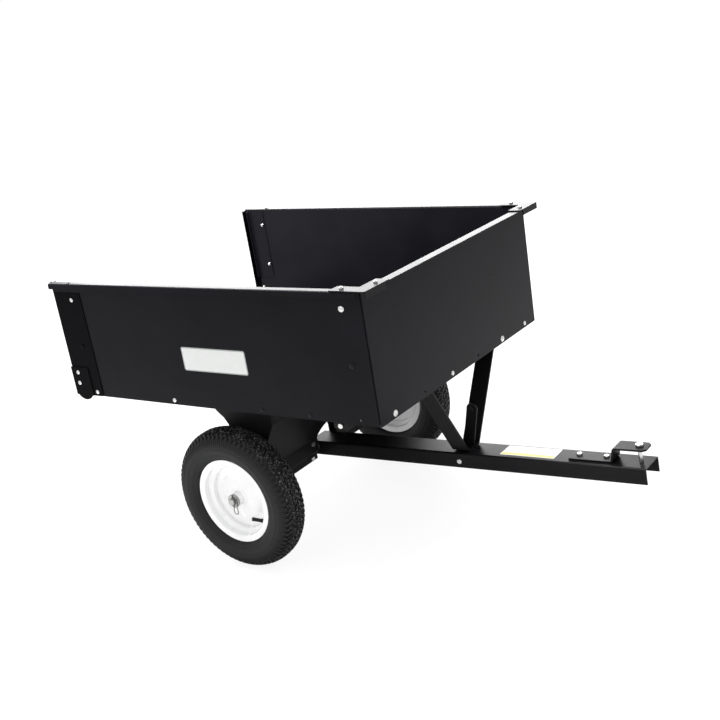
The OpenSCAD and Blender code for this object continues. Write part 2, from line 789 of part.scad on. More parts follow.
module v_brace() {
    top = -lay_gap - brace_t/2;
    base = brace_base_z + brace_t/2;
    color(black_paint) from_bed() difference() {
        translate([brace_x, 0, 0]) along_x(brace_w) sheet([
            [-brace_spread - brace_foot, top], [-brace_spread, top], [-brace_base, base],
            [brace_base, base], [brace_spread, top], [brace_spread + brace_foot, top]], brace_t, 2*bend_r);
        translate([notch_back, -notch_w/2, base - brace_t]) cube([brace_w, notch_w, 2*brace_t]);
        brace_pair() drill(bolt_d, 40);
    }
}

// Bed fasteners

module side_bolts_right() {
    color(zinc) from_side() {
        for (b = return_bolts) side_bolt_at(b[0], b[1], sheet_t) carriage_bolt(bolt_d, 2*sheet_t + lay_gap);
        for (back = floor_bolts) side_bolt_at(back, floor_bolt_z, sheet_t)
            carriage_bolt(small_bolt_d, 2*sheet_t + lay_gap);
    }
}

module side_bolts_left() {
    left() side_bolts_right();
}

module post_bolts_right() {
    color(zinc) from_side() {
        for (drop = [0, guide_pitch]) side_bolt_at(post_x + guide_bolt[0], guide_bolt[1] - drop, post_out)
            carriage_bolt(small_bolt_d, post_grip);
        for (b = foot_bolts) side_bolt_at(post_x + b[0], b[1], post_grip)
            carriage_bolt(small_bolt_d, post_grip);
        side_bolt_at(post_x + low_post_bolt[0], low_post_bolt[1], post_out)
            carriage_bolt(small_bolt_d, post_grip);
    }
}

module post_bolts_left() {
    left() post_bolts_right();
}

module front_bolts() {
    grip = 2*sheet_t + 2*lay_gap;
    seat = lay_gap + sheet_t;
    color(zinc) from_bed() {
        front_row(front_bolt_y) translate([0, 0, seat]) carriage_bolt(bolt_d, grip);
        front_row(front_small_bolt_y) translate([0, 0, seat]) carriage_bolt(small_bolt_d, grip);
    }
}

module rim_bolts() {
    color(zinc) {
        corner_bolt_places() rim_bolt(corner_t + lay_gap, corner_t + lay_gap + sheet_t);
        left() corner_bolt_places() rim_bolt(corner_t + lay_gap, corner_t + lay_gap + sheet_t);
        rear_rim_place() rim_bolt(0, sheet_t);
        left() rear_rim_place() rim_bolt(0, sheet_t);
    }
}

// Small bolt with its nut on top of the rim
module rim_bolt(seat, grip) {
    translate([0, 0, seat - grip]) rotate([180, 0, 0]) carriage_bolt(small_bolt_d, grip);
}

module bolster_bolts() {
    color(zinc) from_bed() bolster_grid() translate([0, 0, sheet_t])
        carriage_bolt(bolt_d, sheet_t + lay_gap + bolster_t);
}

module brace_bolts() {
    color(zinc) from_bed() brace_pair() translate([0, 0, sheet_t])
        carriage_bolt(bolt_d, sheet_t + lay_gap + brace_t);
}

module clamp_bolts() {
    lip_seat = lip_x + bolster_t/2;
    wall_seat = wall_x + bolster_t/2;
    color(zinc) from_axle() for (s = [-1, 1]) {
        translate([lip_seat, s*lip_bolt_y, lip_bolt_z]) rotate([0, 90, 0]) hex_bolt(bolt_d, 2*lip_seat);
        translate([wall_seat, s*lip_bolt_y, clamp_bolt_z]) rotate([0, 90, 0]) hex_bolt(bolt_d, 2*wall_seat);
    }
}

module rail_bolts() {
    rail_end = bed_front_w/2 - 3;
    color(zinc) from_bed() for (s = [-1, 1]) translate([rail_x, s*rail_end, -rail_h/2])
        rotate([-s*90, 0, 0]) hex_bolt(bolt_d, 3);
}

// Axle fittings

module axle_spacers() {
    from_y = bracket_span/2 + bracket_t + 2*lay_gap;
    to_y = wheel_y - hub_face - free_gap;
    color(zinc) from_axle() for (s = [0, 180]) rotate([90 + s, 0, 0]) translate([0, 0, from_y]) difference() {
        cylinder(d = axle_d*1.4, h = to_y - from_y);
        translate([0, 0, -1]) cylinder(d = axle_d + 2*run_gap, h = to_y - from_y + 2);
    }
}

module axle_washers() {
    from_y = wheel_y + hub_face + free_gap;
    color(zinc) from_axle() for (s = [0, 180]) rotate([90 + s, 0, 0]) translate([0, 0, from_y]) difference() {
        cylinder(d = axle_d*1.9, h = washer_t);
        translate([0, 0, -1]) cylinder(d = axle_d + 2*run_gap, h = washer_t + 2);
    }
}

// Hairpin clip: one leg through the axle, a bow below it and a second leg beside the axle
module hairpin_clips() {
    leg_top = axle_d*0.9;
    leg_low = axle_d*1.5;
    bow = (axle_d/2 + clip_d/2 + 0.3)/2;
    color(zinc) from_axle() for (s = [-1, 1]) translate([0, s*clip_y, 0]) {
        translate([0, 0, -leg_low]) cylinder(d = clip_d, h = leg_top + leg_low);
        translate([2*bow, 0, -leg_low]) cylinder(d = clip_d, h = leg_low + axle_d/4);
        translate([bow, 0, -leg_low]) rotate([-90, 0, 0]) rotate_extrude(angle = 180)
            translate([bow, 0]) circle(d = clip_d);
    }
}

// Wheels

// Tyre section in radius and width, a round shouldered ring of the given wall inset
function tyre_section(inset) =
    let (top = tyre_d/2 - inset,
         half = tyre_w/2 - inset,
         foot_r = bead_r + 3 + inset*0.6,
         foot_y = rim_w/2 - 9 - inset*0.3,
         edge_r = rim_d/2 + 1 + inset*0.3,
         edge_y = rim_w/2 - rim_t - 0.6 - inset*0.9,
         mid = (top + foot_r)/2,
         rise = top - mid,
         side = [[foot_r, foot_y], [edge_r, edge_y], [mid - rise*0.42, half*0.95], [mid, half],
                 [mid + rise*0.4, half*0.948], [mid + rise*0.66, half*0.817], [mid + rise*0.826, half*0.65],
                 [mid + rise*0.928, half*0.46], [mid + rise*0.983, half*0.254], [top, half*0.06]])
    concat([for (p = side) [p[0], -p[1]]], [for (i = [len(side) - 1:-1:0]) side[i]]);

module tyre_right() {
    groove_w = 5;
    groove_d = 4;
    color(rubber) wheel_side() rotate_extrude($fn = 96) difference() {
        polygon(tyre_section(0));
        polygon(tyre_section(tyre_wall));
        translate([0, -rim_w/2 + 9 + tyre_wall]) square([bead_r + tyre_wall, rim_w - 18 - 2*tyre_wall]);
        for (y = [-0.2, 0, 0.2]*tyre_w) translate([tyre_d/2 - groove_d - abs(y)*0.2, y - groove_w/2])
            square([groove_d + abs(y)*0.2 + 1, groove_w]);
    }
}

module tyre_left() {
    left() tyre_right();
}

// Inner tube: follows the inside of the tyre
module inner_tube_right() {
    slack = tyre_wall*1.5;
    wall = 2;
    color(rubber) wheel_side() rotate_extrude($fn = 96) difference() {
        polygon(tyre_section(slack));
        polygon(tyre_section(slack + wall));
    }
}

module inner_tube_left() {
    left() inner_tube_right();
}

// Rim: pressed barrel with a drop centre and a dished disc around the hub
module rim_right() {
    edge = rim_w/2 - rim_t/2;
    seat = edge - 6;
    flange = rim_d/2;
    disc_back = -rim_w*0.05;
    disc_out = rim_w*0.16;
    color(white_paint) difference() {
        wheel_side() rotate_extrude($fn = 96) union() {
            sheet([[flange, -edge], [bead_r, -edge], [bead_r, -seat + 10], [well_r, -seat + 16],
                [well_r, seat - 16], [bead_r, seat - 10], [bead_r, edge], [flange, edge]], rim_t, 2);
            sheet([[well_r, disc_back], [disc_r*2.2, disc_back], [disc_r, disc_out],
                [hub_d/2 + lay_gap, disc_out]],
                rim_t, 4*rim_t);
        }
        valve_place() cylinder(d = valve_d + 1, h = 28, center = true);
    }
}

module rim_left() {
    left() rim_right();
}

module hub_right() {
    color(zinc) wheel_side() difference() {
        cylinder(d = hub_d, h = hub_len, center = true);
        cylinder(d = bearing_d + 2*lay_gap, h = hub_len + 2, center = true);
    }
}

module hub_left() {
    left() hub_right();
}

module bearings_right() {
    color("dimgray") wheel_side()
    for (s = [0, 180]) rotate([s, 0, 0]) translate([0, 0, hub_end]) difference() {
        union() {
            translate([0, 0, lay_gap]) cylinder(d = hub_d - 2, h = bearing_flange_t);
            translate([0, 0, -bearing_len]) cylinder(d = bearing_d, h = bearing_len + bearing_flange_t);
        }
        translate([0, 0, -bearing_len - 1])
            cylinder(d = axle_d + 2*run_gap, h = bearing_len + bearing_flange_t + 3);
    }
}

module bearings_left() {
    left() bearings_right();
}

// Valve stem: comes through the rim barrel and points in towards the hub
module valve_right() {
    stem = 34;
    tail = 6;
    cap = 8;
    color(rubber) valve_place() {
        translate([0, 0, -tail]) cylinder(d = valve_d, h = stem + tail);
        translate([0, 0, 5]) cylinder(d1 = valve_d + 4, d2 = valve_d + 1, h = 4);
        translate([0, 0, 8]) cylinder(d = valve_d + 1, h = stem - cap - 9);
        translate([0, 0, stem - cap]) cylinder(d = valve_d + 1.5, h = cap);
    }
}

module valve_place() {
    wheel_side() rotate([0, 0, valve_angle]) translate([valve_r, 0, valve_out])
        rotate([0, valve_tilt - 90, 0])
        children();
}

module valve_left() {
    left() valve_right();
}

tongue_channel();
hitch_strap();
hitch_bolts();
tongue_bush();
latch_pivot_bolt();
latch_spacers();
hitch_pin();
latch_lever();
floor_pan();
front_panel();
side_panel_right();
side_panel_left();
corner_plate_right();
corner_plate_left();
rear_post_right();
rear_post_left();
tailgate_guide_right();
tailgate_guide_left();
rear_foot_right();
rear_foot_left();
cross_rail();
bolster_front();
bolster_rear();
axle_bracket_right();
axle_bracket_left();
axle();
v_brace();
side_bolts_right();
side_bolts_left();
post_bolts_right();
post_bolts_left();
front_bolts();
rim_bolts();
bolster_bolts();
brace_bolts();
clamp_bolts();
rail_bolts();
axle_spacers();
axle_washers();
hairpin_clips();
tyre_right();
inner_tube_right();
rim_right();
hub_right();
bearings_right();
valve_right();
tyre_left();
inner_tube_left();
rim_left();
hub_left();
bearings_left();
valve_left();
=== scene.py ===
import math

import bmesh
import bpy
from mathutils import Matrix, Vector


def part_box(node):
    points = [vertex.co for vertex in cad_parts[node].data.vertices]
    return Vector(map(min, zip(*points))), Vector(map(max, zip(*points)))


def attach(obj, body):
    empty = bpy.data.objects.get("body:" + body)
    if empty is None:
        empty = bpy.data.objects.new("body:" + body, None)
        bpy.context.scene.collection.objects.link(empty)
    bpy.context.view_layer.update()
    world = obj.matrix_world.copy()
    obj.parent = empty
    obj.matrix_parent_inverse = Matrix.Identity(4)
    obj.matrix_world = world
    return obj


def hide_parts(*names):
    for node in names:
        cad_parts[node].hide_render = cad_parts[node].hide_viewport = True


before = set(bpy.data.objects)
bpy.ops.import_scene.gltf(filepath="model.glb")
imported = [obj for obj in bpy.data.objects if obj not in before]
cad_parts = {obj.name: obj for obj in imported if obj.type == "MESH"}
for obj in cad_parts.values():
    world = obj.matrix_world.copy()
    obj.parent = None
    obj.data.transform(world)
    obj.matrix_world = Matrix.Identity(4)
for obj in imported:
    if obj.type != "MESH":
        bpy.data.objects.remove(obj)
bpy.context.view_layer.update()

# Tow bar: an inverted U channel of 3 mm steel, with a Z-bent flat strap bolted on top for the hitch jaw.
# Both are folded, punched and powder coated satin black. The coat softens the edges of the sheet.
def new_finish(name, **settings):
    mat = bpy.data.materials.new(name)
    mat.use_nodes = True
    for label, value in settings.items():
        mat.node_tree.nodes["Principled BSDF"].inputs[label.replace("_", " ")].default_value = value
    return mat


def noise(mat, scale, detail=2.0):
    nodes, links = mat.node_tree.nodes, mat.node_tree.links
    where = nodes.new("ShaderNodeTexCoord")
    pattern = nodes.new("ShaderNodeTexNoise")
    pattern.inputs["Scale"].default_value = scale
    pattern.inputs["Detail"].default_value = detail
    links.new(where.outputs["Object"], pattern.inputs["Vector"])
    return pattern.outputs["Fac"]


def mottle(mat, pattern, dark, light, span=(0.0, 1.0)):
    nodes, links = mat.node_tree.nodes, mat.node_tree.links
    shade = nodes.new("ShaderNodeValToRGB")
    for stop, place, colour in zip(shade.color_ramp.elements, span, (dark, light)):
        stop.position = place
        stop.color = (*colour, 1.0)
    links.new(pattern, shade.inputs["Fac"])
    links.new(shade.outputs["Color"], nodes["Principled BSDF"].inputs["Base Color"])
    return shade.outputs["Color"]


def vary_roughness(mat, pattern, low, high):
    nodes, links = mat.node_tree.nodes, mat.node_tree.links
    rough = nodes.new("ShaderNodeMapRange")
    rough.inputs["To Min"].default_value = low
    rough.inputs["To Max"].default_value = high
    links.new(pattern, rough.inputs["Value"])
    links.new(rough.outputs["Result"], nodes["Principled BSDF"].inputs["Roughness"])


def fine_bump(mat, pattern, strength, depth):
    nodes, links = mat.node_tree.nodes, mat.node_tree.links
    bump = nodes.new("ShaderNodeBump")
    bump.inputs["Strength"].default_value = strength
    bump.inputs["Distance"].default_value = depth
    links.new(pattern, bump.inputs["Height"])
    links.new(bump.outputs["Normal"], nodes["Principled BSDF"].inputs["Normal"])


def powder_coat(name, tone, gloss, sheen=0.11):
    mat = new_finish(name, Specular_IOR_Level=sheen)
    cloud = noise(mat, scale=7.0, detail=4.0)
    mottle(mat, cloud, [c * 0.8 for c in tone], [c * 1.2 for c in tone], span=(0.3, 0.75))
    vary_roughness(mat, cloud, gloss - 0.05, gloss + 0.07)
    fine_bump(mat, noise(mat, scale=520.0), strength=0.05, depth=0.0003)
    return mat


def linked(name, data):
    piece = bpy.data.objects.new(name, data)
    bpy.context.collection.objects.link(piece)
    return piece


def settle(piece):
    graph = bpy.context.evaluated_depsgraph_get()
    mesh = bpy.data.meshes.new_from_object(piece.evaluated_get(graph), depsgraph=graph)
    piece.modifiers.clear()
    piece.data = mesh


def soften(node, body, material, edge=0.0007, sharp=38):
    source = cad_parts[node]
    mesh = source.data.copy()
    mesh.transform(source.matrix_world)
    shell = bmesh.new()
    shell.from_mesh(mesh)
    bmesh.ops.remove_doubles(shell, verts=shell.verts, dist=0.00001)
    if edge is not None:
        bmesh.ops.dissolve_limit(shell, angle_limit=math.radians(0.5), verts=shell.verts, edges=shell.edges)
    shell.to_mesh(mesh)
    shell.free()
    mesh.materials.clear()
    mesh.materials.append(material)
    piece = linked(node + "_finish", mesh)
    if edge:
        bevel = piece.modifiers.new("softened edge", "BEVEL")
        bevel.width = edge
        bevel.segments = 2
        bevel.limit_method = "ANGLE"
        bevel.angle_limit = math.radians(sharp)
        bevel.use_clamp_overlap = True
        settle(piece)
    if edge is not None:
        piece.data.shade_smooth()
        piece.data.set_sharp_from_angle(angle=math.radians(sharp))
        even = piece.modifiers.new("flat faces stay flat", "WEIGHTED_NORMAL")
        even.keep_sharp = True
        even.weight = 90
        settle(piece)
    else:
        piece.data.shade_flat()
    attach(piece, body)
    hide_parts(node)


tow_bar_black = powder_coat("tow bar black", (0.0060, 0.0059, 0.0068), gloss=0.38)
soften("tongue_channel", "tongue", tow_bar_black)
soften("hitch_strap", "tongue", tow_bar_black, edge=0.0009)

# Turned steel pieces of the tow bar: the bush on the axle, the two spacer tubes beside the latch lever,
# and the drop pin of the hitch. They are bright zinc plated, with a faint grain.
def zinc_plate(name, bright, gloss):
    mat = new_finish(name, Metallic=1.0)
    bloom = noise(mat, scale=140.0, detail=5.0)
    dull = (bright * 0.72, bright * 0.72, bright * 0.7)
    mottle(mat, bloom, dull, (bright, bright, bright * 0.985), span=(0.35, 0.7))
    vary_roughness(mat, bloom, gloss - 0.08, gloss + 0.1)
    fine_bump(mat, noise(mat, scale=900.0), strength=0.1, depth=0.0003)
    return mat


bright_zinc = zinc_plate("bright zinc", bright=0.78, gloss=0.3)
soften("tongue_bush", "tongue", bright_zinc, edge=0.0004)
soften("latch_spacers", "tongue", bright_zinc, edge=0.0004)
soften("hitch_pin", "pin", bright_zinc, edge=0.0008)

# Latch lever: a laser-cut flat bar of 5 mm steel with a hook, pivoted inside the tow bar's slot.
# It is powder coated like the tow bar and turns on the pivot bolt.
soften("latch_lever", "latch", tow_bar_black, edge=0.0008)

# Bed sheets: floor, front panel and the two side panels, folded from 2 mm steel and coated satin black.
# The panels carry folded rims, and returns at the corners take the bolts.
panel_black = powder_coat("panel black", (0.0058, 0.0056, 0.0078), gloss=0.29, sheen=0.075)
soften("floor_pan", "bed", panel_black, edge=None)
for sheet_name in ("front_panel", "side_panel_right", "side_panel_left"):
    soften(sheet_name, "bed", panel_black, edge=0.0006)

# Corner plates, rear posts, tailgate guides and rear feet: small folded plates at the bed's corners.
# They are bolted on. The guides are coated as the panels, the corner plates a little more matt, and the posts
# and feet darkest, their black coat darkened further as painted shade.
plate_black = powder_coat("corner plate black", (0.0052, 0.0050, 0.0062), gloss=0.34)
# The posts' and feet's black coat is made darker than the panels' to stand for shade: painted shade.
post_black_painted_shade = powder_coat("rear post black with painted shade", (0.0016, 0.0016, 0.0024), gloss=0.5, sheen=0.035)
plate_coats = {"corner_plate": plate_black, "rear_post": post_black_painted_shade,
               "tailgate_guide": panel_black, "rear_foot": post_black_painted_shade}
for plate_name, plate_coat in plate_coats.items():
    for side_name in ("right", "left"):
        soften(plate_name + "_" + side_name, "bed", plate_coat, edge=0.0006)

# Undercarriage: the two folded bolster sheets with their end brackets, the cross rail and the V brace.
# All are pressed from thicker steel, coated black, and hang under the floor on bolts.
under_black = powder_coat("undercarriage black", (0.0062, 0.0062, 0.0066), gloss=0.42)
for under_name in ("bolster_front", "bolster_rear", "axle_bracket_right", "axle_bracket_left", "cross_rail"):
    soften(under_name, "bed", under_black, edge=0.0008)
soften("v_brace", "bed", tow_bar_black, edge=0.001)

# Axle: a bright drawn steel bar of 20 mm with chamfered ends and a cross hole near each end.
# Spacer tubes keep the wheels off the bolster, and washers bear on the hubs outside.
drawn_steel = zinc_plate("drawn steel", bright=0.42, gloss=0.3)
soften("axle", "bed", drawn_steel, edge=0.0005)
soften("axle_spacers", "bed", bright_zinc, edge=0.0004)
soften("axle_washers", "bed", drawn_steel, edge=0.0004)

# Hairpin clips: spring wire of 3.2 mm, one straight leg through the axle and a wavy leg that grips round it.
# The bow hangs under the axle end.
SIDES = ((-1, "right"), (1, "left"))
spring_wire = zinc_plate("spring wire", bright=0.3, gloss=0.3)
axle_low, axle_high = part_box("axle")
AXLE = Vector(((axle_low.x + axle_high.x) / 2, 0.0, (axle_low.z + axle_high.z) / 2))
CLIP_Y, CLIP_R, CLIP_FACETS = 0.40945, 0.0016, 10
BOW_X, BOW_Z, BOW_R = 0.0056, -0.0292, 0.0072


def meshed(name, shell, material=None):
    mesh = bpy.data.meshes.new(name)
    shell.to_mesh(mesh)
    shell.free()
    if material:
        mesh.materials.append(material)
    return mesh


def skin_rings(shell, rings):
    for here, there in zip(rings, rings[1:]):
        for i in range(len(here)):
            j = (i + 1) % len(here)
            shell.faces.new((here[i], here[j], there[j], there[i]))


def capped(shell, rings):
    skin_rings(shell, rings)
    shell.faces.new(rings[0])
    shell.faces.new(rings[-1])
    bmesh.ops.recalc_face_normals(shell, faces=shell.faces)


def wire_tube(path, radius, facets, name, material):
    shell = bmesh.new()
    rings = []
    for i, point in enumerate(path):
        flow = (path[min(i + 1, len(path) - 1)] - path[max(i - 1, 0)]).normalized()
        side_a = flow.cross(Vector((0, 1, 0))).normalized()
        side_b = flow.cross(side_a).normalized()
        turns = [2 * math.pi * k / facets for k in range(facets)]
        rings.append([shell.verts.new(point + side_a * radius * math.cos(t) + side_b * radius * math.sin(t))
                      for t in turns])
    capped(shell, rings)
    mesh = meshed(name, shell, material)
    mesh.shade_smooth()
    mesh.set_sharp_from_angle(angle=math.radians(50))
    return linked(name, mesh)


def hairpin_path(y):
    straight = [(0.0, 0.018), (0.0, 0.006), (0.0, -0.006), (0.0, -0.017)]
    turns = [math.radians(a) for a in range(190, 371, 15)]
    bow = [(BOW_X + BOW_R * math.cos(t), BOW_Z + BOW_R * math.sin(t)) for t in turns]
    wavy = [(0.0124, -0.0236), (0.0118, -0.0172), (0.0122, -0.01),
            (0.0122, 0.0), (0.0128, 0.005), (0.0148, 0.009)]
    return [AXLE + Vector((x, y, z)) for x, z in straight + bow + wavy]


clips = [wire_tube(hairpin_path(hand * CLIP_Y), CLIP_R, CLIP_FACETS, "hairpin_" + side_name, spring_wire)
         for hand, side_name in SIDES]
for clip in clips:
    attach(clip, "bed")
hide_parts("hairpin_clips")

# Carriage bolts: zinc plated, with a low dome head and a hex nut; some are coated with the sheet they hold.
# They join the panels to each other and to the floor, the corner plates to the rims with the nuts on top,
# and the bolster and the brace to the floor.
BIG, SMALL = 0.008, 0.006
DOME_R, DOME_H = 1.05, 0.42
HEX_R, HEX_HEAD_H, NUT_H = 0.95, 0.5, 0.6
CHAMFER_R, CHAMFER_H = 0.82, 0.15
SHANK_R, SHANK_FACETS, SHANK_TAIL = 0.5, 14, 0.002
TIP_R, TIP_H = 0.42, 0.12


def new_tree(name, *inputs):
    tree = bpy.data.node_groups.new(name, "GeometryNodeTree")
    tree.is_modifier = True
    for label, kind in (("Geometry", "Geometry"), *inputs):
        tree.interface.new_socket(label, in_out="INPUT", socket_type="NodeSocket" + kind)
    tree.interface.new_socket("Geometry", in_out="OUTPUT", socket_type="NodeSocketGeometry")
    return tree, tree.nodes.new("NodeGroupInput").outputs


def maths(tree, operation, *values):
    step = tree.nodes.new("ShaderNodeMath")
    step.operation = operation
    for socket, value in zip(step.inputs, values):
        if isinstance(value, float):
            socket.default_value = value
        else:
            tree.links.new(value, socket)
    return step.outputs[0]


def coat_instances(tree, instances, material):
    real = tree.nodes.new("GeometryNodeRealizeInstances")
    tree.links.new(instances, real.inputs["Geometry"])
    coat = tree.nodes.new("GeometryNodeSetMaterial")
    tree.links.new(real.outputs["Geometry"], coat.inputs["Geometry"])
    tree.links.new(material, coat.inputs["Material"])
    made = tree.nodes.new("NodeGroupOutput")
    tree.links.new(coat.outputs["Geometry"], made.inputs["Geometry"])


def bolt_tree(name, dome):
    tree, given = new_tree(name, ("Shank diameter", "Float"), ("Grip", "Float"), ("Twist seed", "Int"),
                           ("Finish", "Material"))
    nodes, links = tree.nodes, tree.links
    size, grip = given["Shank diameter"], given["Grip"]

    def sized(factor, extra=0.0):
        return maths(tree, "MULTIPLY_ADD", size, factor, extra)

    def below(depth):
        return maths(tree, "MULTIPLY", maths(tree, "ADD", grip, depth), -1.0)

    def lifted(shape, height):
        place = nodes.new("ShaderNodeCombineXYZ")
        links.new(height, place.inputs["Z"])
        move = nodes.new("GeometryNodeTransform")
        links.new(shape, move.inputs["Geometry"])
        links.new(place.outputs["Vector"], move.inputs["Translation"])
        return move.outputs["Geometry"]

    def prism(corners, radius_top, radius_low, depth):
        cone = nodes.new("GeometryNodeMeshCone")
        cone.inputs["Vertices"].default_value = corners
        links.new(sized(radius_top), cone.inputs["Radius Top"])
        links.new(sized(radius_low), cone.inputs["Radius Bottom"])
        links.new(depth, cone.inputs["Depth"])
        return cone.outputs["Mesh"]

    def dome_head():
        ball = nodes.new("GeometryNodeMeshUVSphere")
        ball.inputs["Segments"].default_value = 20
        ball.inputs["Rings"].default_value = 10
        ball.inputs["Radius"].default_value = 1.0
        spot = nodes.new("GeometryNodeInputPosition")
        split = nodes.new("ShaderNodeSeparateXYZ")
        links.new(spot.outputs["Position"], split.inputs["Vector"])
        upper = maths(tree, "MAXIMUM", split.outputs["Z"], 0.0)
        shape = nodes.new("ShaderNodeCombineXYZ")
        for label, source, factor in (("X", split.outputs["X"], DOME_R), ("Y", split.outputs["Y"], DOME_R),
                                      ("Z", upper, DOME_H)):
            links.new(maths(tree, "MULTIPLY", source, sized(factor)), shape.inputs[label])
        press = nodes.new("GeometryNodeSetPosition")
        links.new(ball.outputs["Mesh"], press.inputs["Geometry"])
        links.new(shape.outputs["Vector"], press.inputs["Position"])
        round_off = nodes.new("GeometryNodeSetShadeSmooth")
        links.new(press.outputs["Geometry"], round_off.inputs["Geometry"])
        return [round_off.outputs["Geometry"]]

    def hex_head():
        crown = prism(6, CHAMFER_R, HEX_R, sized(CHAMFER_H))
        return [prism(6, HEX_R, HEX_R, sized(HEX_HEAD_H)), lifted(crown, sized(HEX_HEAD_H))]

    nut_end = below(sized(NUT_H + CHAMFER_H))
    shank_end = below(sized(NUT_H + CHAMFER_H, SHANK_TAIL))
    shank_len = maths(tree, "ADD", grip, sized(NUT_H + CHAMFER_H - TIP_H, SHANK_TAIL))
    shapes = dome_head() if dome else hex_head()
    shapes += [
        lifted(prism(6, HEX_R, HEX_R, sized(NUT_H)), maths(tree, "ADD", nut_end, sized(CHAMFER_H))),
        lifted(prism(6, HEX_R, CHAMFER_R, sized(CHAMFER_H)), nut_end),
        lifted(prism(SHANK_FACETS, SHANK_R, TIP_R, sized(TIP_H)), shank_end),
        lifted(prism(SHANK_FACETS, SHANK_R, SHANK_R, shank_len), maths(tree, "ADD", shank_end, sized(TIP_H)))]
    parts = nodes.new("GeometryNodeJoinGeometry")
    for shape in shapes:
        links.new(shape, parts.inputs["Geometry"])

    aim = nodes.new("GeometryNodeInputNamedAttribute")
    aim.data_type = "FLOAT_VECTOR"
    aim.inputs["Name"].default_value = "bolt_axis"
    align = nodes.new("FunctionNodeAlignRotationToVector")
    align.axis = "Z"
    links.new(aim.outputs["Attribute"], align.inputs["Vector"])
    chance = nodes.new("FunctionNodeRandomValue")
    chance.data_type = "FLOAT"
    least, most = chance.inputs[2], chance.inputs[3]
    least.default_value = 0.0
    most.default_value = math.radians(60)
    links.new(given["Twist seed"], chance.inputs["Seed"])
    twist = nodes.new("FunctionNodeAxisAngleToRotation")
    twist.inputs["Axis"].default_value = (0, 0, 1)
    links.new(chance.outputs[1], twist.inputs["Angle"])
    turned = nodes.new("FunctionNodeRotateRotation")
    turned.rotation_space = "LOCAL"
    links.new(align.outputs["Rotation"], turned.inputs["Rotation"])
    links.new(twist.outputs["Rotation"], turned.inputs["Rotate By"])
    place = nodes.new("GeometryNodeInstanceOnPoints")
    links.new(given["Geometry"], place.inputs["Points"])
    links.new(parts.outputs["Geometry"], place.inputs["Instance"])
    links.new(turned.outputs["Rotation"], place.inputs["Rotation"])
    coat_instances(tree, place.outputs["Instances"], given["Finish"])
    return tree


def run_tree(piece, tree, **values):
    maker = piece.modifiers.new(tree.name, "NODES")
    maker.node_group = tree
    for socket in tree.interface.items_tree:
        label = socket.name.lower().replace(" ", "_")
        if socket.in_out == "INPUT" and label in values:
            maker[socket.identifier] = values[label]
    settle(piece)
    return piece


def bolt_row(name, tree, places, size, grip, seed, finish=bright_zinc):
    mesh = bpy.data.meshes.new(name)
    mesh.from_pydata([spot for spot, _ in places], [], [])
    aim = mesh.attributes.new("bolt_axis", "FLOAT_VECTOR", "POINT")
    for entry, (_, axis) in zip(aim.data, places):
        entry.vector = axis
    return run_tree(linked(name, mesh), tree, shank_diameter=size, grip=grip, twist_seed=seed, finish=finish)


def joined(name, rows, body, *nodes, finish=bright_zinc, slot="zinc"):
    shell = bmesh.new()
    for row in rows:
        shell.from_mesh(row.data)
    mesh = meshed(name, shell, finish)
    mesh.set_sharp_from_angle(angle=math.radians(40))
    for row in rows:
        bpy.data.objects.remove(row)
    piece = linked(name, mesh)
    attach(piece, body)
    if nodes:
        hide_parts(*nodes)


BED = Vector((AXLE.x, 0.0, 0.466))
BED_H, BED_LEN, BED_FLARE = 0.335, 1.042, 0.022
FRONT_X, FRONT_HALF, SPLAY = 0.520, 0.391, math.atan(BED_FLARE / BED_LEN)
SIDE_LEN = BED_LEN / math.cos(SPLAY)
SHEET, LAY = 0.002, 0.0001
FRONT_RETURN, POST_W, FOOT_W, FOOT_H = 0.084, 0.104, 0.070, 0.084
POST_BACK = SIDE_LEN - POST_W
POST_OUT, POST_GRIP = 2 * SHEET + LAY, 3 * SHEET + 2 * LAY
EDGE_Z, EDGE_GRIP = 0.012, 2 * SHEET + LAY
RETURN_BRIGHT, RETURN_COATED = (0.71, 0.857), (0.64, 0.45)
EDGE_BRIGHT, EDGE_COATED = (0.634,), (0.196, 0.342)
GUIDE_SHARE, GUIDE_HEIGHTS = 0.36, (0.845, 0.445)
FOOT_BOLTS, LOW_POST_SHARE = ((0.31, 0.81), (0.26, 0.43)), 0.65
RUN = Vector((math.cos(SPLAY), math.sin(SPLAY), 0))
INWARD = Vector((-math.sin(SPLAY), math.cos(SPLAY), 0))


def on_side(hand, back, inward, height, axis=-INWARD):
    spot = BED + Vector((FRONT_X, -FRONT_HALF, height)) - RUN * back + INWARD * inward
    if hand < 0:
        return spot, axis
    return Vector((spot.x, -spot.y, spot.z)), Vector((axis.x, -axis.y, axis.z))


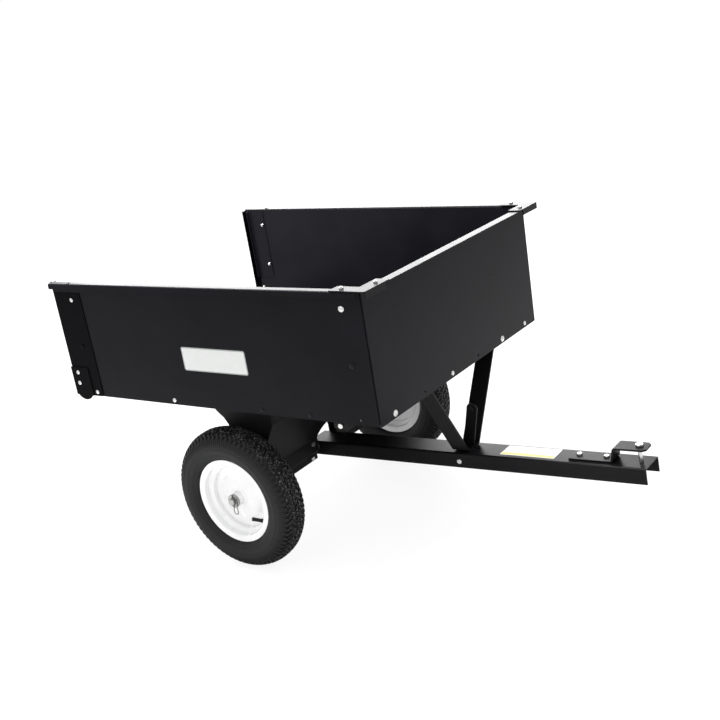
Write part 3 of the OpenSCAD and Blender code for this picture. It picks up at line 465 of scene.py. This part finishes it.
carriage = bolt_tree("carriage bolts", True)
for hand, side_name in SIDES:
    bright_big, dark_big = ([on_side(hand, FRONT_RETURN * u, -SHEET, BED_H * h)]
                            for u, h in (RETURN_BRIGHT, RETURN_COATED))
    bright_low, dark_low = ([on_side(hand, SIDE_LEN * u, -SHEET, EDGE_Z) for u in shares]
                            for shares in (EDGE_BRIGHT, EDGE_COATED))
    joined("side_bolts_%s_row" % side_name,
           [bolt_row("big", carriage, bright_big, BIG, EDGE_GRIP, seed=3),
            bolt_row("low", carriage, bright_low, SMALL, EDGE_GRIP, seed=4)],
           "bed", "side_bolts_" + side_name)
    joined("side_bolts_%s_coated" % side_name,
           [bolt_row("big", carriage, dark_big, BIG, EDGE_GRIP, seed=5, finish=plate_black),
            bolt_row("low", carriage, dark_low, SMALL, EDGE_GRIP, seed=6, finish=plate_black)], "bed",
           finish=plate_black, slot="black_paint")
    guide = [on_side(hand, POST_BACK + POST_W * GUIDE_SHARE, -POST_OUT, BED_H * h) for h in GUIDE_HEIGHTS]
    foot = [on_side(hand, POST_BACK + POST_W - FOOT_W * u, -POST_GRIP, FOOT_H * h)
            for u, h in FOOT_BOLTS]
    low = [on_side(hand, POST_BACK + (POST_W - FOOT_W) * LOW_POST_SHARE, -POST_OUT, EDGE_Z)]
    if hand < 0:
        # The lower guide bolt on the right takes the posts' coat, which is darkened as painted shade.
        joined("post_bolts_right_coated",
               [bolt_row("guide", carriage, guide[1:], SMALL, POST_GRIP, seed=2, finish=post_black_painted_shade)], "bed",
               finish=post_black_painted_shade, slot="black_paint")
        guide = guide[:1]
    joined("post_bolts_%s_row" % side_name,
           [bolt_row("guide", carriage, guide, SMALL, POST_GRIP, seed=7),
            bolt_row("foot", carriage, foot, SMALL, POST_GRIP, seed=8),
            bolt_row("low", carriage, low, SMALL, POST_GRIP, seed=9)], "bed", "post_bolts_" + side_name)

FRONT_PITCH, FRONT_GRIP = 2 * FRONT_HALF * 0.17, 2 * SHEET + 2 * LAY
forward = Vector((1, 0, 0))
front_seat = BED + Vector((FRONT_X + LAY + SHEET, 0, EDGE_Z))
front_big = [(front_seat + Vector((0, FRONT_PITCH * k, 0)), forward) for k in (-2.5, 1.5)]
front_small = [(front_seat + Vector((0, FRONT_PITCH * k, 0)), forward) for k in (-0.5, 2.5)]
joined("front_bolts_row",
       [bolt_row("big", carriage, front_big, BIG, FRONT_GRIP, seed=8),
        bolt_row("small", carriage, front_small, SMALL, FRONT_GRIP, seed=9)], "bed", "front_bolts")

PLATE_T, PLATE_BOLT, SIDE_RIM_BOLT, FRONT_RIM_BOLT = 0.003, 0.040, 0.014, 0.016
RIM_UNDER, REAR_RIM_BACK = BED_H - SHEET, SIDE_LEN - POST_W * 0.79
down = Vector((0, 0, -1))
plate_bolts, rear_bolts = [], []
for hand, _ in SIDES:
    plate_bolts.append(on_side(hand, PLATE_BOLT, -SIDE_RIM_BOLT, RIM_UNDER, down))
    front_y = hand * (FRONT_HALF - PLATE_BOLT)
    plate_bolts.append((BED + Vector((FRONT_X + FRONT_RIM_BOLT, front_y, RIM_UNDER)), down))
    rear_bolts.append(on_side(hand, REAR_RIM_BACK, -SIDE_RIM_BOLT, RIM_UNDER, down))
joined("rim_bolts_row",
       [bolt_row("plate", carriage, plate_bolts, SMALL, PLATE_T + LAY + SHEET, seed=10),
        bolt_row("rear", carriage, rear_bolts, SMALL, SHEET, seed=11)], "bed", "rim_bolts")

BOLSTER_T, BOLSTER_BOLT_X, BRACKET_SPAN = 0.003, 0.123, 0.620
BOLSTER_SHARES = (-0.4, -0.145, 0.145, 0.4)
BRACE_T, BRACE_X, BRACE_BOLT_Y = 0.005, 0.490, 0.186
up = Vector((0, 0, 1))
grid = [(BED + Vector((s * BOLSTER_BOLT_X, BRACKET_SPAN * k, SHEET)), up)
        for s in (-1, 1) for k in BOLSTER_SHARES]
joined("bolster_bolts_row", [bolt_row("grid", carriage, grid, BIG, SHEET + LAY + BOLSTER_T, seed=12)],
       "bed", "bolster_bolts")
pair = [(BED + Vector((BRACE_X, s * BRACE_BOLT_Y, SHEET)), up) for s in (-1, 1)]
joined("brace_bolts_row", [bolt_row("pair", carriage, pair, BIG, SHEET + LAY + BRACE_T, seed=13)],
       "bed", "brace_bolts")

# Hex bolts: they clamp the two bolster sheets round the axle, close the cross rail's ends,
# hold the hitch strap on the tow bar, and make the latch lever's pivot.
LIP_SEAT, WALL_SEAT, CLAMP_Y = 0.0035, 0.0146, 0.070
LIP_BOLT_Z, WALL_BOLT_Z = -0.0276, 0.020
RAIL_X, RAIL_END, RAIL_MID_Z, RAIL_GRIP = 0.398, 0.388, -0.010, 0.003
hexed = bolt_tree("hex bolts", False)
lips = [(AXLE + Vector((LIP_SEAT, s * CLAMP_Y, LIP_BOLT_Z)), forward) for s in (-1, 1)]
walls = [(AXLE + Vector((WALL_SEAT, s * CLAMP_Y, WALL_BOLT_Z)), forward) for s in (-1, 1)]
joined("clamp_bolts_row",
       [bolt_row("lips", hexed, lips, BIG, 2 * LIP_SEAT, seed=14),
        bolt_row("walls", hexed, walls, BIG, 2 * WALL_SEAT, seed=15)], "bed", "clamp_bolts")
rail_ends = [(BED + Vector((RAIL_X, s * RAIL_END, RAIL_MID_Z)), Vector((0, s, 0))) for s in (-1, 1)]
joined("rail_bolts_row", [bolt_row("rail", hexed, rail_ends, BIG, RAIL_GRIP, seed=16)], "bed", "rail_bolts")

RISE = math.radians(2.7)
BAR_W, BAR_T, BAR_TOP, STRAP_T = 0.080, 0.003, 0.015, 0.005
PIVOT_X, PIVOT_Z = 0.490, -0.007
STRAP_BOLTS_X = (0.820, 0.892)
bar_run = Vector((math.cos(RISE), 0, math.sin(RISE)))
bar_up = Vector((-math.sin(RISE), 0, math.cos(RISE)))


def on_tongue(x, y, z):
    return AXLE + bar_run * x + Vector((0, y, 0)) + bar_up * z


strap_bolts = [(on_tongue(x, 0, BAR_TOP + LAY + STRAP_T), bar_up) for x in STRAP_BOLTS_X]
pivot = [(on_tongue(PIVOT_X, -BAR_W / 2, PIVOT_Z), Vector((0, -1, 0)))]
joined("hitch_bolts_row", [bolt_row("strap", hexed, strap_bolts, BIG, STRAP_T + LAY + BAR_T, seed=17)],
       "tongue", "hitch_bolts")
joined("latch_pivot_row", [bolt_row("pivot", hexed, pivot, BIG, BAR_W, seed=18)],
       "tongue", "latch_pivot_bolt")

# Tyres: pneumatic rubber with rows of tread blocks, shoulder lugs that wrap over the edge,
# and fine ribs on the sidewalls. Each casing is moulded in one piece and sits on the rim's bead seats.
# Pale flecks on the crown are painted highlights, standing in for light glinting off the tread blocks' edges.
TYRE_Y, TYRE_STEPS = 0.374, 132
SECTION_R, SECTION_H, SECTION_W = 0.15325, 0.04675, 0.047
SHOULDER_BULGE = 0.86
SIDEWALL_DEPTH, TREAD_DEPTH = 0.0012, 0.0028
TREAD_FROM, TREAD_FADE = 28, 22
RIB_LIFT = 0.0005
BLOCK_ROOT, BLOCK_FLARE, BLOCK_TAPER = 0.001, 0.0006, 0.88
# Tone and radii of the painted highlights: pale flecks on the crown that stand in for glints of light.
GLINT_TONE, GLINT_RADII = 0.14, (0.186, 0.195)


# Paints highlights on the tread crown: pale flecks where light would glint off the block edges.
def paint_crown_glints(mat, colour):
    tree = mat.node_tree
    nodes, links = tree.nodes, tree.links

    def vector_step(operation, first, second=None):
        step = nodes.new("ShaderNodeVectorMath")
        step.operation = operation
        links.new(first, step.inputs[0])
        if second is not None:
            step.inputs[1].default_value = second
        return step.outputs

    def stretch(value, low, high):
        span = nodes.new("ShaderNodeMapRange")
        span.inputs["From Min"].default_value = low
        span.inputs["From Max"].default_value = high
        links.new(value, span.inputs["Value"])
        return span.outputs["Result"]

    where = nodes.new("ShaderNodeTexCoord").outputs["Object"]
    from_axle = vector_step("SUBTRACT", where, AXLE)["Vector"]
    radius = vector_step("LENGTH", vector_step("MULTIPLY", from_axle, (1, 0, 1))["Vector"])["Value"]
    # Pale flecks in the crown's band of radii: painted highlights.
    glint_spots = stretch(noise(mat, scale=240.0, detail=1.0), 0.56, 0.68)
    share = maths(tree, "MULTIPLY", stretch(radius, *GLINT_RADII), glint_spots)
    glint_mix = nodes.new("ShaderNodeMix")
    glint_mix.data_type = "RGBA"
    factor, clean, painted_glints = glint_mix.inputs[0], glint_mix.inputs[6], glint_mix.inputs[7]
    painted_glints.default_value = (GLINT_TONE, GLINT_TONE, GLINT_TONE, 1.0)
    links.new(share, factor)
    links.new(colour, clean)
    links.new(glint_mix.outputs[2], nodes["Principled BSDF"].inputs["Base Color"])


def tyre_rubber(name, tone, gloss, painted_glints=False):
    mat = new_finish(name, Specular_IOR_Level=0.24)
    dust = noise(mat, scale=38.0, detail=6.0)
    dusty = (tone * 1.5, tone * 1.5, tone * 1.55)
    colour = mottle(mat, dust, (tone * 0.8, tone * 0.8, tone * 0.82), dusty, span=(0.35, 0.72))
    if painted_glints:
        paint_crown_glints(mat, colour)
    vary_roughness(mat, dust, gloss - 0.08, gloss + 0.1)
    fine_bump(mat, noise(mat, scale=700.0), strength=0.25, depth=0.0004)
    return mat


def ring_tree():
    tree, given = new_tree("ring of blocks", ("Count", "Int"), ("Phase", "Float"), ("Rubber", "Material"))
    nodes, links = tree.nodes, tree.links
    spots = nodes.new("GeometryNodePoints")
    links.new(given["Count"], spots.inputs["Count"])
    index = nodes.new("GeometryNodeInputIndex")
    step = maths(tree, "ADD", index.outputs["Index"], given["Phase"])
    angle = maths(tree, "MULTIPLY", maths(tree, "DIVIDE", step, given["Count"]), 2 * math.pi)
    spin = nodes.new("FunctionNodeAxisAngleToRotation")
    spin.inputs["Axis"].default_value = (0, 1, 0)
    links.new(angle, spin.inputs["Angle"])
    ring = nodes.new("GeometryNodeInstanceOnPoints")
    links.new(spots.outputs["Points"], ring.inputs["Points"])
    links.new(given["Geometry"], ring.inputs["Instance"])
    links.new(spin.outputs["Rotation"], ring.inputs["Rotation"])
    coat_instances(tree, ring.outputs["Instances"], given["Rubber"])
    return tree


def casing_at(angle, lift):
    blend = min(max((angle - TREAD_FROM) / TREAD_FADE, 0.0), 1.0)
    depth = SIDEWALL_DEPTH + TREAD_DEPTH * blend * blend * (3 - 2 * blend) - lift
    turn = math.radians(angle)
    bulge = SHOULDER_BULGE if angle > 0 else 1.0
    out = math.copysign(abs(math.sin(turn)) ** bulge, turn)
    return SECTION_R + (SECTION_H - depth) * out, (SECTION_W - depth) * math.cos(turn) ** bulge


def casing_profile():
    arc = [(a, 0.0) for a in range(88, 1, -4)]
    arc += [(0.4, 0.0), (0.2, RIB_LIFT), (-1.4, RIB_LIFT), (-1.6, 0.0), (-8, 0.0), (-15, 0.0),
            (-20, 0.0), (-20.2, RIB_LIFT), (-22.4, RIB_LIFT), (-22.6, 0.0), (-25, 0.0)]
    outer = [casing_at(a, lift) for a, lift in arc]
    bead = [(0.1262, 0.0392), (0.1222, 0.0338), (0.1207, 0.0302),
            (0.1165, 0.0293), (0.1115, 0.0272), (0.1066, 0.0243)]
    inner = [(0.1068, 0.0168), (0.1100, 0.0170), (0.1220, 0.0230), (0.1290, 0.0320), (0.1400, 0.0370),
             (0.1550, 0.0378), (0.1690, 0.0340), (0.1780, 0.0270), (0.1835, 0.0180), (0.1862, 0.0060)]
    half = outer + bead + inner
    return [(r, -y) for r, y in half] + half[::-1]


def lathe(profile, steps, name, material):
    shell = bmesh.new()
    rings = []
    for k in range(steps):
        turn = 2 * math.pi * k / steps
        rings.append([shell.verts.new((r * math.sin(turn), y, r * math.cos(turn))) for r, y in profile])
    skin_rings(shell, rings + rings[:1])
    bmesh.ops.recalc_face_normals(shell, faces=shell.faces)
    return meshed(name, shell, material)


def moulded_block(stations, hand):
    shell = bmesh.new()
    rings = []
    for angle, shift, half, lift in stations:
        low_r, low_y = casing_at(angle, -BLOCK_ROOT)
        top_r, top_y = casing_at(angle, lift)
        foot, top = half + BLOCK_FLARE, half * BLOCK_TAPER
        corners = ((shift - foot, hand * low_y, low_r), (shift + foot, hand * low_y, low_r),
                   (shift + top, hand * top_y, top_r), (shift - top, hand * top_y, top_r))
        rings.append([shell.verts.new(corner) for corner in corners])
    capped(shell, rings)
    return meshed("tread block", shell)


# The casing rubber carries the painted highlights on its crown.
casing_rubber = tyre_rubber("tyre rubber", tone=0.0056, gloss=0.52, painted_glints=True)
blocks = ring_tree()
# Each row: blocks round the tyre, phase, and the block's cuts as angle, shift, half width and lift
TREAD = (
    (76, 0.0, ((88.5, -0.0030, 0.0042, 0.0036), (83, 0.0, 0.0044, 0.0037), (77, 0.0030, 0.0042, 0.0036))),
    (76, 0.5, ((74.5, 0.0034, 0.0042, 0.0036), (69, 0.0, 0.0044, 0.0036), (63, -0.0030, 0.0042, 0.0035))),
    (76, 0.0, ((60.5, -0.0030, 0.0042, 0.0035), (55, 0.0, 0.0042, 0.0036), (49, 0.0026, 0.0040, 0.0033))),
    (76, 0.5, ((47.5, 0.0, 0.0042, 0.0037), (42, 0.0, 0.0038, 0.0029),
               (36, 0.0, 0.0034, 0.0018), (28, 0.0, 0.0028, 0.0009))),
    (152, 0.25, ((38, 0.0, 0.0018, 0.0016), (29, 0.0, 0.0018, 0.0012),
                 (20, 0.0, 0.0017, 0.0010), (10, 0.0, 0.0014, 0.0005))))


def tread_ring(count, phase, stations, hand):
    holder = linked("tread ring", moulded_block(stations, hand))
    half_step = 0.0 if hand < 0 else 0.5
    return run_tree(holder, blocks, count=count, phase=phase + half_step, rubber=casing_rubber)


for hand, side_name in SIDES:
    casing = lathe(casing_profile(), TYRE_STEPS, "casing", casing_rubber)
    casing.shade_smooth()
    casing.set_sharp_from_angle(angle=math.radians(40))
    shell = bmesh.new()
    shell.from_mesh(casing)
    for count, phase, stations in TREAD:
        for edge in (-1, 1):
            holder = tread_ring(count, phase, stations, edge)
            shell.from_mesh(holder.data)
            bpy.data.objects.remove(holder)
    bmesh.ops.translate(shell, verts=shell.verts, vec=AXLE + Vector((0, hand * TYRE_Y, 0)))
    tyre_name = "tyre_%s_tread" % side_name
    tyre = linked(tyre_name, meshed(tyre_name, shell, casing_rubber))
    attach(tyre, "wheel_" + side_name)
    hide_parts("tyre_" + side_name)

# Wheels inside the tyres: pressed steel rims enamelled white, a plain hub tube welded through each disc,
# flanged bearings in its ends, a rubber tube in the casing and a rubber valve stem through the rim.
def enamel(name, tone):
    mat = new_finish(name, Coat_Weight=0.25, Coat_Roughness=0.1)
    veil = noise(mat, scale=24.0, detail=4.0)
    mottle(mat, veil, (tone * 0.955, tone * 0.955, tone * 0.96), (tone, tone, tone), span=(0.25, 0.6))
    vary_roughness(mat, veil, low=0.2, high=0.32)
    fine_bump(mat, noise(mat, scale=180.0), strength=0.06, depth=0.0004)
    return mat


rim_white = enamel("rim white", tone=0.90)
tube_rubber = tyre_rubber("tube rubber", tone=0.011, gloss=0.5)
bearing_steel = zinc_plate("bearing steel", bright=0.36, gloss=0.38)
for side_name in ("right", "left"):
    wheel = "wheel_" + side_name
    soften("rim_" + side_name, wheel, rim_white, edge=0.0005, sharp=50)
    soften("hub_" + side_name, wheel, rim_white, edge=0.0006)
    soften("bearings_" + side_name, wheel, bearing_steel, edge=0.0004)
    soften("valve_" + side_name, wheel, tube_rubber, edge=0.0005)
    soften("inner_tube_" + side_name, wheel, tube_rubber, edge=0.0)

# Blank plates: a white self-adhesive plate with a grey edge on the right side panel,
# and a white one with a yellow band on the tow bar.
# Both are plain printed film, a few tenths of a millimetre thick, with rounded corners.
FILM_T, FILM_LAP = 0.0003, 0.0002
SIDE_PLATE_BACK, SIDE_PLATE_Z = 0.4875, 0.1345
LABEL_X, LABEL_Y, BAND_Y = 0.682, 0.004, -0.0155
BORDER_SIZE, PLATE_SIZE = (0.217, 0.065, 0.006), (0.211, 0.059, 0.004)
LABEL_SIZE, BAND_SIZE = (0.154, 0.056, 0.003), (0.150, 0.013, 0.001)


def film(name, tone):
    mat = new_finish(name, Roughness=0.35)
    mottle(mat, noise(mat, scale=60.0), [c * 0.94 for c in tone], tone)
    return mat


def film_plate(name, middle, axes, length, width, radius, material):
    along, across, normal = axes
    outline = []
    for corner, (sx, sy) in enumerate(((1, 1), (-1, 1), (-1, -1), (1, -1))):
        for k in range(6):
            turn = math.radians(90 * corner + 18 * k)
            a = sx * (length / 2 - radius) + radius * math.cos(turn)
            b = sy * (width / 2 - radius) + radius * math.sin(turn)
            outline.append(middle + along * a + across * b)
    shell = bmesh.new()
    capped(shell, [[shell.verts.new(p + normal * rise) for p in outline] for rise in (0.0, FILM_T)])
    return linked(name, meshed(name, shell, material))


plain_white = film("plain white film", (0.72, 0.73, 0.72))
grey_edge = film("grey edge film", (0.34, 0.36, 0.35))
yellow_band = film("yellow band film", (0.76, 0.60, 0.09))
side_middle, side_out = on_side(-1, SIDE_PLATE_BACK, -SHEET, SIDE_PLATE_Z)
side_axes = (RUN, up, side_out)
border = film_plate("side_plate_border", side_middle, side_axes, *BORDER_SIZE, grey_edge)
plate_middle = side_middle + side_out * FILM_LAP
plate = film_plate("side_plate", plate_middle, side_axes, *PLATE_SIZE, plain_white)
bar_axes = (bar_run, Vector((0, 1, 0)), bar_up)
label_middle = on_tongue(LABEL_X, LABEL_Y, BAR_TOP)
band_middle = on_tongue(LABEL_X, BAND_Y, BAR_TOP + FILM_LAP)
bar_label = film_plate("bar_label", label_middle, bar_axes, *LABEL_SIZE, plain_white)
bar_band = film_plate("bar_label_band", band_middle, bar_axes, *BAND_SIZE, yellow_band)
for piece in (border, plate):
    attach(piece, "bed")
for piece in (bar_label, bar_band):
    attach(piece, "tongue")

# Studio: a wide pale floor under a white sky, with soft lamps overhead, at the side and behind,
# and a small one over the bed. The floor is the same white as the sky, and keeps a faint shadow.
FLOOR_REACH, FLOOR_TONE, FLOOR_GLOW, GLOW_SHARE = 30, 0.86, 1.2, 0.72
SKY_LIT, SKY_SEEN = 0.85, 1.0


def stage_white():
    mat = bpy.data.materials.new("stage white")
    mat.use_nodes = True
    nodes, links = mat.node_tree.nodes, mat.node_tree.links
    nodes.clear()
    result = nodes.new("ShaderNodeOutputMaterial")
    matt = nodes.new("ShaderNodeBsdfDiffuse")
    matt.inputs["Color"].default_value = (FLOOR_TONE, FLOOR_TONE, FLOOR_TONE, 1.0)
    glow = nodes.new("ShaderNodeEmission")
    glow.inputs["Color"].default_value = (1.0, 1.0, 1.0, 1.0)
    glow.inputs["Strength"].default_value = FLOOR_GLOW
    rays = nodes.new("ShaderNodeLightPath")
    mix = nodes.new("ShaderNodeMixShader")
    share = maths(mat.node_tree, "MULTIPLY", rays.outputs["Is Camera Ray"], GLOW_SHARE)
    links.new(share, mix.inputs["Fac"])
    links.new(matt.outputs["BSDF"], mix.inputs[1])
    links.new(glow.outputs["Emission"], mix.inputs[2])
    links.new(mix.outputs["Shader"], result.inputs["Surface"])
    return mat


floor_mesh = bpy.data.meshes.new("studio_floor")
floor_corners = [(sx * FLOOR_REACH, sy * FLOOR_REACH, 0) for sx, sy in ((-1, -1), (1, -1), (1, 1), (-1, 1))]
floor_mesh.from_pydata(floor_corners, [], [(0, 1, 2, 3)])
floor_mesh.materials.append(stage_white())
studio_floor = linked("studio_floor", floor_mesh)

sky = bpy.data.worlds.new("studio sky")
sky.use_nodes = True
background = sky.node_tree.nodes["Background"]
background.inputs["Color"].default_value = (1.0, 1.0, 1.0, 1.0)
sky_rays = sky.node_tree.nodes.new("ShaderNodeLightPath").outputs
seen = maths(sky.node_tree, "MAXIMUM", sky_rays["Is Camera Ray"], sky_rays["Is Glossy Ray"])
seen = maths(sky.node_tree, "MAXIMUM", seen, sky_rays["Is Transmission Ray"])
level = sky.node_tree.nodes.new("ShaderNodeMapRange")
level.inputs["To Min"].default_value = SKY_LIT
level.inputs["To Max"].default_value = SKY_SEEN
sky.node_tree.links.new(seen, level.inputs["Value"])
sky.node_tree.links.new(level.outputs["Result"], background.inputs["Strength"])
bpy.context.scene.world = sky


def soft_lamp(name, place, target, width, height, power):
    lamp = bpy.data.lights.new(name, "AREA")
    lamp.shape = "RECTANGLE"
    lamp.size = width
    lamp.size_y = height
    lamp.energy = power
    holder = linked(name, lamp)
    aim = (Vector(target) - Vector(place)).to_track_quat("-Z", "Y")
    holder.matrix_world = Matrix.Translation(place) @ aim.to_matrix().to_4x4()
    holder.visible_camera = False


soft_lamp("overhead lamp", (-0.1, -0.1, 2.6), (-0.1, 0.1, 0.4), width=1.6, height=0.7, power=60)
soft_lamp("side lamp", (-0.6, -4.2, 2.6), (-0.2, -0.4, 0.3), width=3.0, height=2.0, power=22)
soft_lamp("back lamp", (-2.6, 3.2, 1.9), (0.0, 0.0, 0.6), width=3.6, height=1.8, power=130)
soft_lamp("bed lamp", (-0.5, -0.3, 1.5), (-0.4, 0.42, 0.6), width=1.3, height=0.3, power=22)

camera = bpy.data.cameras.new("photo camera")
camera.sensor_fit = "HORIZONTAL"
camera.sensor_width = 36.0
camera.lens = 53.79
camera.clip_end = 200.0
viewer = linked("photo camera", camera)
cam_right = Vector((0.80681, 0.57064, -0.15305))
cam_down = Vector((0.0658, -0.34422, -0.93658))
cam_ahead = Vector((-0.58713, 0.74558, -0.31527))
cam_turn = Matrix((cam_right, -cam_down, -cam_ahead)).transposed().to_4x4()
cam_place = AXLE + Vector((1.9318, -2.2236, 1.2056))
viewer.matrix_world = Matrix.Translation(cam_place) @ cam_turn
bpy.context.scene.camera = viewer
bpy.context.scene.view_settings.view_transform = "Standard"
